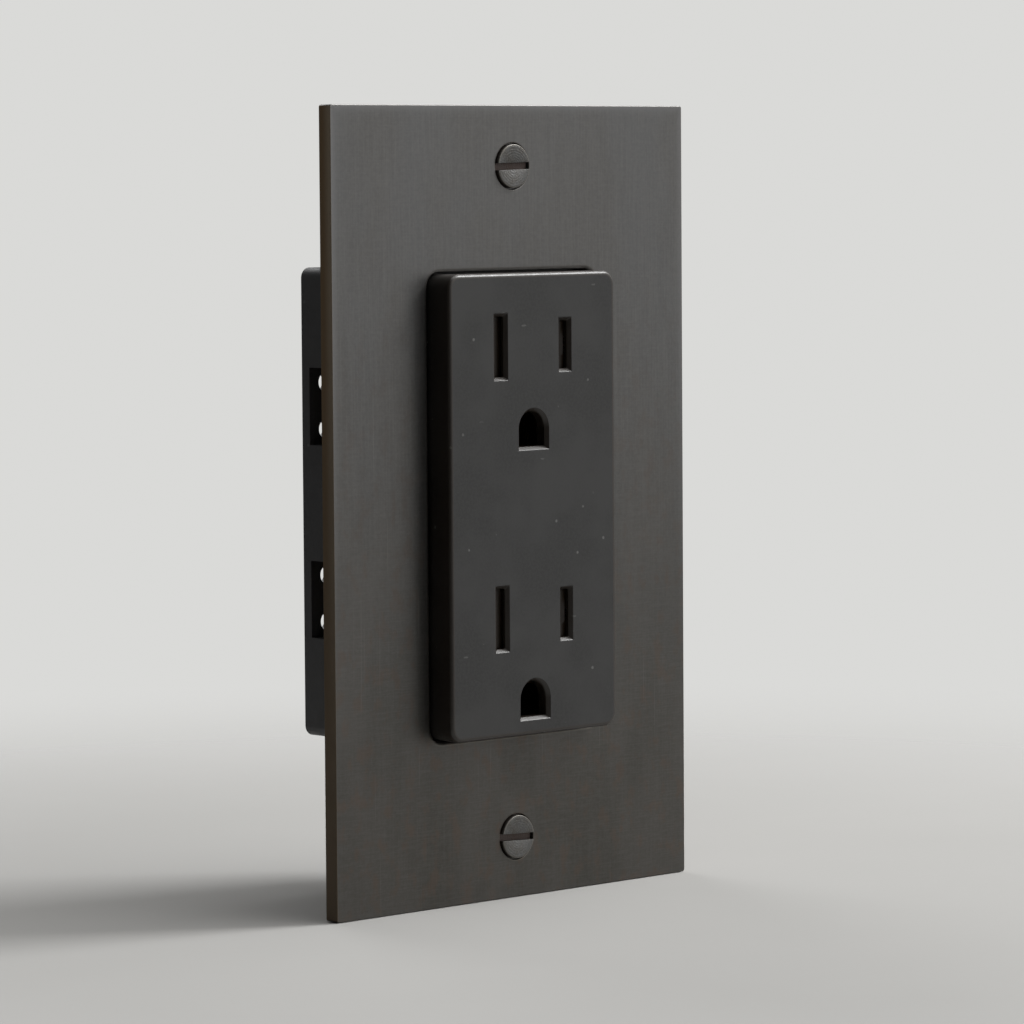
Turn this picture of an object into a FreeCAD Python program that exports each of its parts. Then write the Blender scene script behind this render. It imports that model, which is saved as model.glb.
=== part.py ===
"""Duplex receptacle with a rectangular face, its yoke, contacts, terminals and one-gang wall plate.

Frame, in millimetres: X to the right, Z up, Y into the wall. The origin is the centre of the
plate's back rim, which lies on the wall as the yoke's ears do: what stands out has negative Y.
"""
import FreeCAD, Part
import math
import os

import Sketcher

V = FreeCAD.Vector

# alias, value, meaning
DIMENSIONS = (
    ("plate_width", 69.85, "one-gang plate, side to side"),
    ("plate_height", 114.3, "one-gang plate, top to bottom"),
    ("plate_thick", 2.4, "plate, front to rim"),
    ("plate_bevel", 0.3, "broken edge round the plate"),
    ("window_width", 33.4, "plate window, side to side"),
    ("window_height", 66.8, "plate window, top to bottom"),
    ("window_round", 2.2, "corner of the plate window"),
    ("plate_screw_z", 48.42, "plate screw above the centre"),
    ("bore_radius", 3.35, "counterbore for a plate screw's head"),
    ("bore_floor", 1.8, "counterbore floor in front of the wall"),
    ("screw_pass", 1.95, "radius of a free hole for a 6-32 screw"),
    ("recess_depth", 1.35, "hollow in the plate's back over the yoke"),
    ("recess_half_width", 21.6, "the same hollow, centre to side"),
    ("recess_half_height", 53.9, "the same hollow, centre to end"),
    ("face_width", 33.0, "face cover, side to side"),
    ("face_height", 66.4, "face cover, top to bottom"),
    ("face_front", 6.55, "front of the face, before the origin"),
    ("face_round", 2.0, "upright corners of the face cover"),
    ("face_edge", 0.55, "rounded front edge of the face cover"),
    ("face_wall", 2.0, "front wall of the face cover"),
    ("face_skin", 1.0, "front wall over the shutters"),
    ("side_wall", 1.6, "side walls of the face cover"),
    ("flange_back", 2.05, "back of the cover's flange"),
    ("slot_upper_z", 22.75, "blade line of the upper outlet"),
    ("slot_lower_z", -16.15, "blade line of the lower outlet"),
    ("blade_x", 6.35, "blade slot from the centre line"),
    ("slot_width", 1.65, "blade slot, narrow way"),
    ("neutral_tall", 8.65, "neutral slot, long way"),
    ("line_tall", 6.9, "line slot, long way"),
    ("slot_lead", 0.5, "bevel round each opening of the face"),
    ("ground_drop", 11.9, "ground hole's centre below the blade line"),
    ("ground_radius", 2.55, "round top of the ground hole"),
    ("shutter_travel", 3.3, "slide of a shutter"),
    ("shutter_front", 5.45, "front of a shutter, before the origin"),
    ("shutter_back", 3.05, "back of a shutter, before the origin"),
    ("tray_back", 1.55, "back of a shutter tray, before the origin"),
    ("strap_front", 1.3, "front of the yoke's sheet, before the origin"),
    ("strap_back", 0.05, "back of the yoke's sheet, before the origin"),
    ("strap_half_width", 20.0, "yoke beside the face"),
    ("strap_half_height", 53.2, "yoke, centre to end"),
    ("ear_half_width", 20.6, "plaster ears"),
    ("mount_z", 41.65, "mounting screw above the centre"),
    ("dimple_depth", 1.5, "set-back of the yoke under a mounting screw"),
    ("screw_radius", 1.75, "6-32 thread, outside radius"),
    ("neck_radius", 1.5, "plain neck under a mounting screw's head"),
    ("neck_length", 3.6, "the same neck, along the screw"),
    ("seat_gap", 0.05, "clearance between stacked pieces"),
    ("screw_fit", 1.8, "radius of a hole that guides a 6-32 screw"),
    ("housing_half_width", 19.2, "rear body, centre to side"),
    ("housing_half_height", 34.0, "rear body, centre to end"),
    ("housing_front", 2.1, "front plane of the rear body"),
    ("housing_back", 22.6, "rear plane of the rear body"),
    ("terminal_z", 14.0, "terminal screw above or below the centre"),
    ("terminal_y", 10.5, "terminal screw behind the origin"),
    ("bus_outer", 14.6, "outer face of a contact strip's side plate"),
    ("bus_inner", 13.8, "inner face of a contact strip's side plate"),
    ("clamp_gap", 2.5, "open gap between side plate and clamp"),
    ("clamp_thick", 1.2, "wire clamp"),
    ("web_front", 12.2, "front of the web that carries a blade clip"),
    ("web_back", 12.8, "back of the web that carries a blade clip"),
    ("ground_strip_front", 15.2, "front of the ground strip"),
    ("ground_strip_back", 16.0, "back of the ground strip"),
    ("wire_hole", 1.4, "radius of a wire hole in the rear wall"),
)

doc = FreeCAD.newDocument("DuplexOutlet")
sheet = doc.addObject("Spreadsheet::Sheet", "dims")
for row, (alias, number, meaning) in enumerate(DIMENSIONS, 1):
    sheet.set(f"A{row}", meaning)
    sheet.set(f"B{row}", str(number))
    sheet.setAlias(f"B{row}", alias)
doc.recompute()

parts = []


def value(expression):
    """The number that an expression over the sheet has now."""
    return float(sheet.evalExpression(str(expression)))


def dim(alias):
    return f"dims.{alias}"


# ---------------------------------------------------------------- sketches and features

def new_body(label):
    body = doc.addObject("PartDesign::Body", label)
    body.Label = label
    parts.append(body)
    return body


def new_sketch(body, plane, depth):
    """A sketch parallel to an origin plane. Its depth is the third coordinate: Y on XZ, and so on."""
    sketch = body.newObject("Sketcher::SketchObject", "Sketch")
    support = next(o for o in body.Origin.OriginFeatures if o.Role == f"{plane}_Plane")
    sketch.AttachmentSupport = [(support, "")]
    sketch.MapMode = "FlatFace"
    sign = "-1" if plane == "XZ" else "1"
    sketch.setExpression("AttachmentOffset.Base.z", f"{sign} * ({depth})")
    return sketch


def pin_point(sketch, geometry, point, across, up):
    """Hold one point of the sketch at a place given by two expressions."""
    for kind, expression, axis in (("DistanceX", across, -2), ("DistanceY", up, -1)):
        number = value(expression)
        if abs(number) < 1e-9:
            sketch.addConstraint(Sketcher.Constraint("PointOnObject", geometry, point, axis))
        else:
            index = sketch.addConstraint(
                Sketcher.Constraint(kind, -1, 1, geometry, point, number))
            sketch.setExpression(f"Constraints[{index}]", str(expression))


def draw_polygon(sketch, corners):
    places = [V(value(a), value(b), 0) for a, b in corners]
    count = len(places)
    lines = [
        sketch.addGeometry(Part.LineSegment(places[i], places[(i + 1) % count]), False)
        for i in range(count)
    ]
    for i in range(count):
        sketch.addConstraint(
            Sketcher.Constraint("Coincident", lines[i], 2, lines[(i + 1) % count], 1))
    for line, (across, up) in zip(lines, corners):
        pin_point(sketch, line, 1, across, up)


def draw_rectangle(sketch, left, right, low, high):
    draw_polygon(sketch, ((left, low), (right, low), (right, high), (left, high)))


def draw_circle(sketch, across, up, radius):
    centre = V(value(across), value(up), 0)
    circle = sketch.addGeometry(Part.Circle(centre, V(0, 0, 1), value(radius)), False)
    pin_point(sketch, circle, 3, across, up)
    index = sketch.addConstraint(Sketcher.Constraint("Radius", circle, value(radius)))
    sketch.setExpression(f"Constraints[{index}]", str(radius))


def draw_obround(sketch, reach, up, radius):
    """A slot along the first axis, centred on it, whose end arcs' centres are at plus and minus reach."""
    x, z, r = value(reach), value(up), value(radius)
    half = math.pi / 2
    left = sketch.addGeometry(
        Part.ArcOfCircle(Part.Circle(V(-x, z, 0), V(0, 0, 1), r), half, 3 * half), False)
    right = sketch.addGeometry(
        Part.ArcOfCircle(Part.Circle(V(x, z, 0), V(0, 0, 1), r), -half, half), False)
    low = sketch.addGeometry(Part.LineSegment(V(-x, z - r, 0), V(x, z - r, 0)), False)
    high = sketch.addGeometry(Part.LineSegment(V(x, z + r, 0), V(-x, z + r, 0)), False)
    for a, a_end, b, b_end in ((left, 2, low, 1), (low, 2, right, 1),
                               (right, 2, high, 1), (high, 2, left, 1)):
        sketch.addConstraint(Sketcher.Constraint("Tangent", a, a_end, b, b_end))
    sketch.addConstraint(Sketcher.Constraint("Equal", left, right))
    pin_point(sketch, left, 3, f"-1 * ({reach})", up)
    index = sketch.addConstraint(Sketcher.Constraint("DistanceX", -1, 1, right, 3, x))
    sketch.setExpression(f"Constraints[{index}]", str(reach))
    index = sketch.addConstraint(Sketcher.Constraint("Radius", left, r))
    sketch.setExpression(f"Constraints[{index}]", str(radius))


def draw_arch(sketch, up, radius):
    """A hole with a round top and a flat bottom, one radius either side of its centre."""
    z, r = value(up), value(radius)
    arc = sketch.addGeometry(
        Part.ArcOfCircle(Part.Circle(V(0, z, 0), V(0, 0, 1), r), 0, math.pi), False)
    left = sketch.addGeometry(Part.LineSegment(V(-r, z, 0), V(-r, z - r, 0)), False)
    floor = sketch.addGeometry(Part.LineSegment(V(-r, z - r, 0), V(r, z - r, 0)), False)
    right = sketch.addGeometry(Part.LineSegment(V(r, z - r, 0), V(r, z, 0)), False)
    sketch.addConstraint(Sketcher.Constraint("Tangent", arc, 2, left, 1))
    sketch.addConstraint(Sketcher.Constraint("Coincident", left, 2, floor, 1))
    sketch.addConstraint(Sketcher.Constraint("Coincident", floor, 2, right, 1))
    sketch.addConstraint(Sketcher.Constraint("Tangent", right, 2, arc, 1))
    sketch.addConstraint(Sketcher.Constraint("Vertical", left))
    sketch.addConstraint(Sketcher.Constraint("Horizontal", floor))
    pin_point(sketch, arc, 3, "0", up)
    index = sketch.addConstraint(Sketcher.Constraint("Radius", arc, r))
    sketch.setExpression(f"Constraints[{index}]", str(radius))
    index = sketch.addConstraint(Sketcher.Constraint("DistanceY", -1, 1, floor, 1, z - r))
    sketch.setExpression(f"Constraints[{index}]", f"{up} - {radius}")


def add_pad(body, plane, low, high, draw, *sizes):
    """Raise a drawn outline from low to high along the plane's third axis."""
    sketch = new_sketch(body, plane, low)
    draw(sketch, *sizes)
    pad = body.newObject("PartDesign::Pad", "Pad")
    pad.Profile = sketch
    pad.setExpression("Length", f"({high}) - ({low})")
    pad.Reversed = plane == "XZ"
    doc.recompute()
    return pad


def add_pocket(body, plane, low, high, draw, *sizes):
    """Cut a drawn outline out of the body from low to high along the plane's third axis."""
    before = body.Shape.Volume
    sketch = new_sketch(body, plane, low)
    draw(sketch, *sizes)
    pocket = body.newObject("PartDesign::Pocket", "Pocket")
    pocket.Profile = sketch
    pocket.setExpression("Length", f"({high}) - ({low})")
    pocket.Reversed = plane != "XZ"
    doc.recompute()
    if body.Shape.Volume > before - 1e-4:
        raise RuntimeError(f"a pocket in {body.Label} cuts nothing")
    return pocket


def edges_where(shape, test):
    return [f"Edge{i}" for i, edge in enumerate(shape.Edges, 1) if test(edge)]


def edge_feature(body, kind, size_name, size, test):
    """A Fillet or Chamfer over those edges of the body that pass the test."""
    base = body.Tip
    names = edges_where(base.Shape, test)
    if not names:
        raise RuntimeError(f"no edge to finish on {body.Label}")
    feature = body.newObject(f"PartDesign::{kind}", kind)
    feature.Base = (base, names)
    feature.setExpression(size_name, str(size))
    doc.recompute()
    return feature


def add_fillet(body, radius, test):
    return edge_feature(body, "Fillet", "Radius", radius, test)


def add_chamfer(body, size, test):
    return edge_feature(body, "Chamfer", "Size", size, test)


def near(a, b, tolerance=0.01):
    return abs(a - b) < tolerance


def runs_along_y(edge, x_size, z_size):
    """True of a straight edge along Y at plus or minus x_size and z_size."""
    box = edge.BoundBox
    straight = box.XLength < 0.01 and box.ZLength < 0.01 and box.YLength > 0.2
    return straight and near(abs(box.Center.x), x_size) and near(abs(box.Center.z), z_size)


def on_y_plane(edge, y):
    box = edge.BoundBox
    return near(box.YMin, y) and near(box.YMax, y)


def within(edge, x_size, z_size):
    box = edge.BoundBox
    return max(abs(box.XMin), abs(box.XMax)) < x_size and max(abs(box.ZMin), abs(box.ZMax)) < z_size


# ---------------------------------------------------------------- wall plate and its screws

def make_wall_plate():
    body = new_body("wall_plate")
    front, back = "-1 * dims.plate_thick", "0"
    add_pad(body, "XZ", front, back, draw_rectangle,
            "-0.5 * dims.plate_width", "0.5 * dims.plate_width",
            "-0.5 * dims.plate_height", "0.5 * dims.plate_height")
    add_chamfer(body, dim("plate_bevel"), lambda e: on_y_plane(e, value(front)))
    add_pocket(body, "XZ", front, back, draw_rectangle,
               "-0.5 * dims.window_width", "0.5 * dims.window_width",
               "-0.5 * dims.window_height", "0.5 * dims.window_height")
    half_width = value("dims.window_width / 2")
    half_height = value("dims.window_height / 2")
    add_fillet(body, dim("window_round"), lambda e: runs_along_y(e, half_width, half_height))
    for sign in (1, -1):
        height = f"{sign} * dims.plate_screw_z"
        floor = "-1 * dims.bore_floor"
        add_pocket(body, "XZ", front, floor, draw_circle, "0", height, dim("bore_radius"))
        add_pocket(body, "XZ", floor, back, draw_circle, "0", height, dim("screw_pass"))
    add_pocket(body, "XZ", "-1 * dims.recess_depth", back, draw_rectangle,
               "-1 * dims.recess_half_width", dim("recess_half_width"),
               "-1 * dims.recess_half_height", dim("recess_half_height"))


def make_screw(label, shank, head, slot, outward, place, neck=None):
    """A slotted screw. shank, head and the optional neck are (radius, length), slot is (width, depth).

    It is turned about its own Z axis with the head's underside at zero, then laid along outward.
    """
    (shank_radius, shank_length), (head_radius, head_height) = shank, head
    slot_width, slot_depth = slot
    tip, edge = 0.5, 0.25
    under_head = [(shank_radius, "0")]
    if neck:
        neck_radius, neck_length = neck
        under_head = [
            (shank_radius, f"-1 * {neck_length}"),
            (neck_radius, f"{shank_radius} - {neck_radius} - {neck_length}"),
            (neck_radius, "0"),
        ]
    body = new_body(label)
    sketch = new_sketch(body, "XZ", "0")
    draw_polygon(sketch, (
        ("0", f"-1 * {shank_length}"),
        (f"{shank_radius} - {tip}", f"-1 * {shank_length}"),
        (shank_radius, f"{tip} - {shank_length}"),
        *under_head,
        (head_radius, "0"),
        (head_radius, f"{head_height} - {edge}"),
        (f"{head_radius} - {edge}", head_height),
        ("0", head_height),
    ))
    turned = body.newObject("PartDesign::Revolution", "Revolution")
    turned.Profile = sketch
    turned.ReferenceAxis = (sketch, ["V_Axis"])
    turned.Angle = 360
    doc.recompute()
    reach = value(head_radius) + 1
    add_pocket(body, "YZ", f"-1 * {reach}", f"{reach}", draw_rectangle,
               f"-0.5 * {slot_width}", f"0.5 * {slot_width}",
               f"{head_height} - {slot_depth}", f"{head_height} + 1")
    turn = {
        "front": FreeCAD.Rotation(V(1, 0, 0), 90),
        "left": FreeCAD.Rotation(V(0, 1, 0), -90),
        "right": FreeCAD.Rotation(V(0, 1, 0), 90),
    }[outward]
    body.Placement = FreeCAD.Placement(V(0, 0, 0), turn)
    for axis, expression in zip("xyz", place):
        body.setExpression(f"Placement.Base.{axis}", expression)
    doc.recompute()


def make_plate_screws():
    for name, sign in (("upper", 1), ("lower", -1)):
        make_screw(f"plate_screw_{name}", (dim("screw_radius"), "8.0"), ("3.15", "1.05"),
                   ("1.0", "0.7"), "front",
                   ("0", "-1 * dims.bore_floor", f"{sign} * dims.plate_screw_z"))


# ---------------------------------------------------------------- face and shutters

OUTLETS = (("upper", dim("slot_upper_z")), ("lower", dim("slot_lower_z")))


def make_face_cover():
    body = new_body("face_cover")
    front = "-1 * dims.face_front"
    flange_front = dim("seat_gap")
    half_width, half_height = "dims.face_width / 2", "dims.face_height / 2"
    add_pad(body, "XZ", front, flange_front, draw_rectangle,
            f"-1 * {half_width}", half_width, f"-1 * {half_height}", half_height)
    add_fillet(body, dim("face_round"),
               lambda e: runs_along_y(e, value(half_width), value(half_height)))
    add_fillet(body, dim("face_edge"), lambda e: on_y_plane(e, value(front)))
    add_pad(body, "XZ", flange_front, dim("flange_back"), draw_rectangle,
            "-1 * dims.housing_half_width", dim("housing_half_width"),
            "-1 * dims.housing_half_height", dim("housing_half_height"))
    inner_front = "dims.face_wall - dims.face_front"
    add_pocket(body, "XZ", inner_front, dim("flange_back"), draw_rectangle,
               "dims.side_wall - dims.face_width / 2", "dims.face_width / 2 - dims.side_wall",
               "dims.side_wall - dims.face_height / 2", "dims.face_height / 2 - dims.side_wall")
    skin_back = "dims.face_skin - dims.face_front"
    for _, line in OUTLETS:
        add_pocket(body, "XZ", skin_back, inner_front, draw_rectangle,
                   "-14.8", "14.8", f"{line} - 7", f"{line} + 7")
        for sign, tall in ((-1, "dims.neutral_tall"), (1, "dims.line_tall")):
            centre = f"{sign} * dims.blade_x"
            add_pocket(body, "XZ", front, skin_back, draw_rectangle,
                       f"{centre} - dims.slot_width / 2", f"{centre} + dims.slot_width / 2",
                       f"{line} - {tall} / 2", f"{line} + {tall} / 2")
        add_pocket(body, "XZ", front, inner_front, draw_arch,
                   f"{line} - dims.ground_drop", dim("ground_radius"))
    add_chamfer(body, dim("slot_lead"),
                lambda e: on_y_plane(e, value(front)) and within(e, 12, 32))


def make_shutter_tray(name, line):
    body = new_body(f"shutter_tray_{name}")
    front, back = "-0.05 - dims.shutter_front", "-1 * dims.tray_back"
    floor = "0.1 - dims.shutter_back"
    add_pad(body, "XZ", front, back, draw_rectangle,
            "-14.6", "14.6", f"{line} - 6.8", f"{line} + 6.8")
    add_pocket(body, "XZ", front, floor, draw_rectangle,
               "-13.2", "13.2", f"{line} - 5.6", f"{line} + 5.6")
    for sign, tall in ((-1, "dims.neutral_tall"), (1, "dims.line_tall")):
        centre = f"{sign} * dims.blade_x"
        add_pocket(body, "XZ", floor, back, draw_rectangle,
                   f"{centre} - 1.5", f"{centre} + 1.5",
                   f"{line} - {tall} / 2 - 0.4", f"{line} + {tall} / 2 + 0.4")
    add_pad(body, "YZ", "12.0", "13.3", draw_circle,
            "-0.5 * (dims.shutter_front + dims.shutter_back)", line, "0.7")


def make_shutter(name, line):
    """A slider at rest: its windows stand to the left of the slots, and its ramps are behind them."""
    body = new_body(f"shutter_{name}")
    front, back = "-1 * dims.shutter_front", "-1 * dims.shutter_back"
    right_end = "8.6"
    add_pad(body, "XZ", front, back, draw_rectangle,
            "-12.9", right_end, f"{line} - 5.4", f"{line} + 5.4")
    half_window = 1.4
    foot, shelf = f"{front} + 1.8", f"{front} + 0.6"
    ramps = (
        (-1, "dims.neutral_tall", ((0, front), (0, foot), (3.0, shelf), (3.9, shelf), (3.9, front))),
        (1, "dims.line_tall", ((0, front), (0, foot), (3.4, front))),
    )
    for sign, tall, ramp in ramps:
        middle = f"{sign} * dims.blade_x - dims.shutter_travel"
        low = f"{line} - {tall} / 2 - 0.3"
        high = f"{line} + {tall} / 2 + 0.3"
        add_pocket(body, "XZ", front, back, draw_rectangle,
                   f"{middle} - {half_window}", f"{middle} + {half_window}", low, high)
        corners = [(f"{middle} + {half_window + along}", depth) for along, depth in ramp]
        add_pocket(body, "XY", low, high, draw_polygon, corners)
    add_pocket(body, "YZ", f"{right_end} - 1.2", right_end, draw_circle,
               "-0.5 * (dims.shutter_front + dims.shutter_back)", line, "1.45")


def make_shutter_spring(name, line):
    """The envelope of a coil spring, from the shutter's seat to the tray's wall."""
    outer, inner, length = 1.25, 0.95, 5.76
    shells = []
    for radius in (outer, inner):
        cylinder = doc.addObject("Part::Cylinder", "SpringShell")
        cylinder.Radius = radius
        cylinder.Height = length
        cylinder.Placement = FreeCAD.Placement(V(7.42, 0, 0), FreeCAD.Rotation(V(0, 1, 0), 90))
        cylinder.setExpression("Placement.Base.y",
                               "-0.5 * (dims.shutter_front + dims.shutter_back)")
        cylinder.setExpression("Placement.Base.z", line)
        shells.append(cylinder)
    spring = doc.addObject("Part::Cut", f"shutter_spring_{name}")
    spring.Label = f"shutter_spring_{name}"
    spring.Base, spring.Tool = shells
    parts.append(spring)


# ---------------------------------------------------------------- yoke and mounting screws

def make_mounting_strap():
    body = new_body("mounting_strap")
    quarter = (
        (dim("strap_half_width"), "37.6"),
        ("16.5", "37.6"),
        ("16.5", "43.0"),
        (dim("ear_half_width"), "43.0"),
        (dim("ear_half_width"), "51.0"),
        ("16.5", "51.0"),
        ("14.0", dim("strap_half_height")),
    )
    upper_left = [(f"-1 * {x}", z) for x, z in reversed(quarter)]
    lower_left = [(f"-1 * {x}", f"-1 * {z}") for x, z in quarter]
    lower_right = [(x, f"-1 * {z}") for x, z in reversed(quarter)]
    front, back = "-1 * dims.strap_front", "-1 * dims.strap_back"
    add_pad(body, "XZ", front, back, draw_polygon,
            list(quarter) + upper_left + lower_left + lower_right)
    ear_z = (43.0, 51.0)
    add_fillet(body, 2.5, lambda e: any(
        runs_along_y(e, value("dims.ear_half_width"), z) for z in ear_z))
    add_pocket(body, "XZ", front, back, draw_rectangle, "-16.8", "16.8", "-33.5", "33.5")
    floor, dimple_back = "dims.dimple_depth - dims.strap_front", dim("dimple_depth")
    for sign in (1, -1):
        middle = f"{sign} * dims.mount_z"
        add_pad(body, "XZ", "-0.3", dimple_back, draw_obround, "2.0", middle, "4.7")
        add_pocket(body, "XZ", front, floor, draw_obround, "2.0", middle, "3.8")
        add_pocket(body, "XZ", floor, dimple_back, draw_obround, "1.3", middle, "2.0")
        add_pocket(body, "XZ", front, back, draw_circle,
                   "0", f"{sign} * dims.plate_screw_z", dim("screw_fit"))
        for side in (1, -1):
            add_pocket(body, "XZ", front, back, draw_circle,
                       f"{side * 10}", f"{sign * 36.1}", "1.25")
            add_pocket(body, "XZ", front, back, draw_circle,
                       f"{side * 17.6}", f"{sign * 47}", "1.6")
    for side in (1, -1):
        add_pocket(body, "XZ", front, back, draw_circle, f"{side * 5}", "-35.4", "0.8")
    add_pad(body, "XZ", "-0.3", "12.0", draw_rectangle, "-16.5", "-15.2", "-45.5", "-37.7")
    add_pocket(body, "YZ", "-16.5", "-15.2", draw_circle, "7.0", "-41.6", dim("screw_fit"))


def make_mounting_screws():
    for name, sign in (("upper", 1), ("lower", -1)):
        height = f"{sign} * dims.mount_z"
        make_screw(f"mounting_screw_{name}", (dim("screw_radius"), "25.0"), ("3.45", "1.4"),
                   ("1.0", "0.8"), "front",
                   ("0", "dims.dimple_depth - dims.strap_front", height),
                   neck=(dim("neck_radius"), dim("neck_length")))
        retainer = new_body(f"screw_retainer_{name}")
        front = "dims.dimple_depth + dims.seat_gap"
        add_pad(retainer, "XZ", front, f"{front} + 0.8", draw_rectangle,
                "-4.5", "4.5", f"{height} - 4.5", f"{height} + 4.5")
        add_fillet(retainer, 1.0, lambda e: e.BoundBox.YLength > 0.5)
        add_pocket(retainer, "XZ", front, f"{front} + 0.8", draw_circle,
                   "0", height, "dims.neck_radius + 0.05")


# ---------------------------------------------------------------- rear body

TERMINALS = (("upper", "dims.terminal_z"), ("lower", "-1 * dims.terminal_z"))
SIDES = (("neutral", -1), ("line", 1))


def span(side, inner, outer):
    """Lowest and highest X of something between two distances from the centre, on one side."""
    if side > 0:
        return inner, outer
    return f"-1 * ({outer})", f"-1 * ({inner})"


def make_back_housing():
    body = new_body("back_housing")
    front, back = dim("housing_front"), dim("housing_back")
    width, height = dim("housing_half_width"), dim("housing_half_height")
    add_pad(body, "XZ", front, back, draw_rectangle,
            f"-1 * {width}", width, f"-1 * {height}", height)
    add_fillet(body, 1.5, lambda e: runs_along_y(e, value(width), value(height)))
    add_chamfer(body, 0.8, lambda e: on_y_plane(e, value(back)))
    for across in (1, -1):
        for up in (1, -1):
            left, right = span(across, "7.2", "12.8")
            low, high = span(up, "33.5", "38.2")
            add_pad(body, "XZ", front, "6.0", draw_rectangle, left, right, low, high)
            low, high = span(up, "34.1", "38.2")
            add_pad(body, "XZ", dim("seat_gap"), front, draw_rectangle, left, right, low, high)
            add_pocket(body, "XZ", dim("seat_gap"), "6.0", draw_circle,
                       f"{across * 10}", f"{up * 36.1}", "1.3")
    bay_floor, bay_back = "dims.bus_outer + 0.1", "dims.housing_back - 2.4"
    for _, side in SIDES:
        left, right = span(side, "4.1", bay_floor)
        add_pocket(body, "XZ", front, "14.8", draw_rectangle, left, right, "-30.5", "30.5")
        left, right = span(side, "dims.bus_inner - 0.1", bay_floor)
        add_pocket(body, "XZ", "14.8", "18.2", draw_rectangle, left, right, "-30.5", "30.5")
        left, right = span(side, "dims.bus_outer - 0.1", "dims.housing_half_width + 1")
        add_pocket(body, "XZ", "6.0", "13.0", draw_rectangle, left, right, "-3.4", "3.4")
        for _, middle in TERMINALS:
            add_pocket(body, "XZ", "5.0", bay_back, draw_rectangle,
                       left, right, f"{middle} - 5.6", f"{middle} + 5.6")
            for offset in (-3.4, 3.4):
                add_pocket(body, "XZ", bay_back, back, draw_circle,
                           f"{side} * (dims.bus_outer + 1.4)", f"{middle} + {offset}",
                           dim("wire_hole"))
    add_pocket(body, "XZ", front, "16.8", draw_rectangle, "-3.3", "3.3", "-32.2", "15.2")
    add_pocket(body, "XZ", front, "16.2", draw_rectangle, "-3.0", "3.0", "-34.5", "-32.0")
    for low, high in (("-29", "-2"), ("2", "29")):
        add_pocket(body, "XZ", "dims.housing_back - 1.2", back, draw_rectangle,
                   "-11.5", "11.5", low, high)


def make_assembly_screws():
    """Four pan-head screws through the body's lugs into the yoke, one solid each."""
    screws = []
    for across in (1, -1):
        for up in (1, -1):
            pieces = []
            for radius, start, length in ((1.2, -1.15, 7.3), (1.9, 6.05, 1.5)):
                cylinder = doc.addObject("Part::Cylinder", "AssemblyRound")
                cylinder.Radius = radius
                cylinder.Height = length
                cylinder.Placement = FreeCAD.Placement(
                    V(across * 10, start, up * 36.1), FreeCAD.Rotation(V(1, 0, 0), -90))
                pieces.append(cylinder)
            turned = doc.addObject("Part::Fuse", "AssemblyTurned")
            turned.Base, turned.Tool = pieces
            slot = doc.addObject("Part::Box", "AssemblySlot")
            slot.Length, slot.Width, slot.Height = 5.0, 1.0, 0.8
            slot.Placement.Base = V(across * 10 - 2.5, 6.85, up * 36.1 - 0.4)
            screw = doc.addObject("Part::Cut", "AssemblyScrew")
            screw.Base, screw.Tool = turned, slot
            screws.append(screw)
    group = doc.addObject("Part::Compound", "assembly_screws")
    group.Label = "assembly_screws"
    group.Links = screws
    parts.append(group)


# ---------------------------------------------------------------- contacts and terminals

def make_contact_bus(name, side):
    """A brass strip: a side plate with two tapped holes, a break-off fin and two blade clips."""
    body = new_body(f"{name}_bus")
    left, right = span(side, dim("bus_inner"), dim("bus_outer"))
    low, high, waist_low, waist_high = "5.6", "17.8", "8.0", "11.5"
    add_pad(body, "YZ", left, right, draw_polygon, (
        (low, "-28"), (high, "-28"), (high, "-6.6"), (waist_high, "-6.6"),
        (waist_high, "6.6"), (high, "6.6"), (high, "28"), (low, "28"),
        (low, "6.6"), (waist_low, "6.6"), (waist_low, "-6.6"), (low, "-6.6"),
    ))
    left, right = span(side, dim("bus_inner"), "18.4")
    add_pad(body, "XZ", "9.4", "10.2", draw_rectangle, left, right, "-2.6", "2.6")
    tall = {"neutral": 3.8, "line": 3.2}[name]
    half_clip = (
        (1.95, "1.7"), (1.1, "3.2"), (1.1, "dims.web_back"),
    )
    half_inside = (
        (0.6, "dims.web_front"), (0.6, "3.0"), (1.45, "1.7"),
    )
    outline = [(-x, y) for x, y in half_clip]
    outline += list(reversed(half_clip))
    outline += list(reversed(half_inside))
    outline += [(-x, y) for x, y in half_inside]
    arms = {"upper": (19.0, 26.0), "lower": (-19.3, -16.5)}
    for outlet, line in OUTLETS:
        corners = [(f"{side} * dims.blade_x + {x}", y) for x, y in outline]
        add_pad(body, "XY", f"{line} - {tall}", f"{line} + {tall}", draw_polygon, corners)
        left, right = span(side, "dims.blade_x + 0.9", "dims.bus_inner + 0.2")
        low, high = arms[outlet]
        add_pad(body, "XZ", dim("web_front"), dim("web_back"), draw_rectangle,
                left, right, str(low), str(high))
    for _, middle in TERMINALS:
        left, right = span(side, "dims.bus_inner - 1.2", "dims.bus_inner + 0.2")
        add_pad(body, "YZ", left, right, draw_circle, dim("terminal_y"), middle, "2.7")
        left, right = span(side, "dims.bus_inner - 1.2", dim("bus_outer"))
        add_pocket(body, "YZ", left, right, draw_circle, dim("terminal_y"), middle,
                   dim("screw_fit"))


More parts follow.
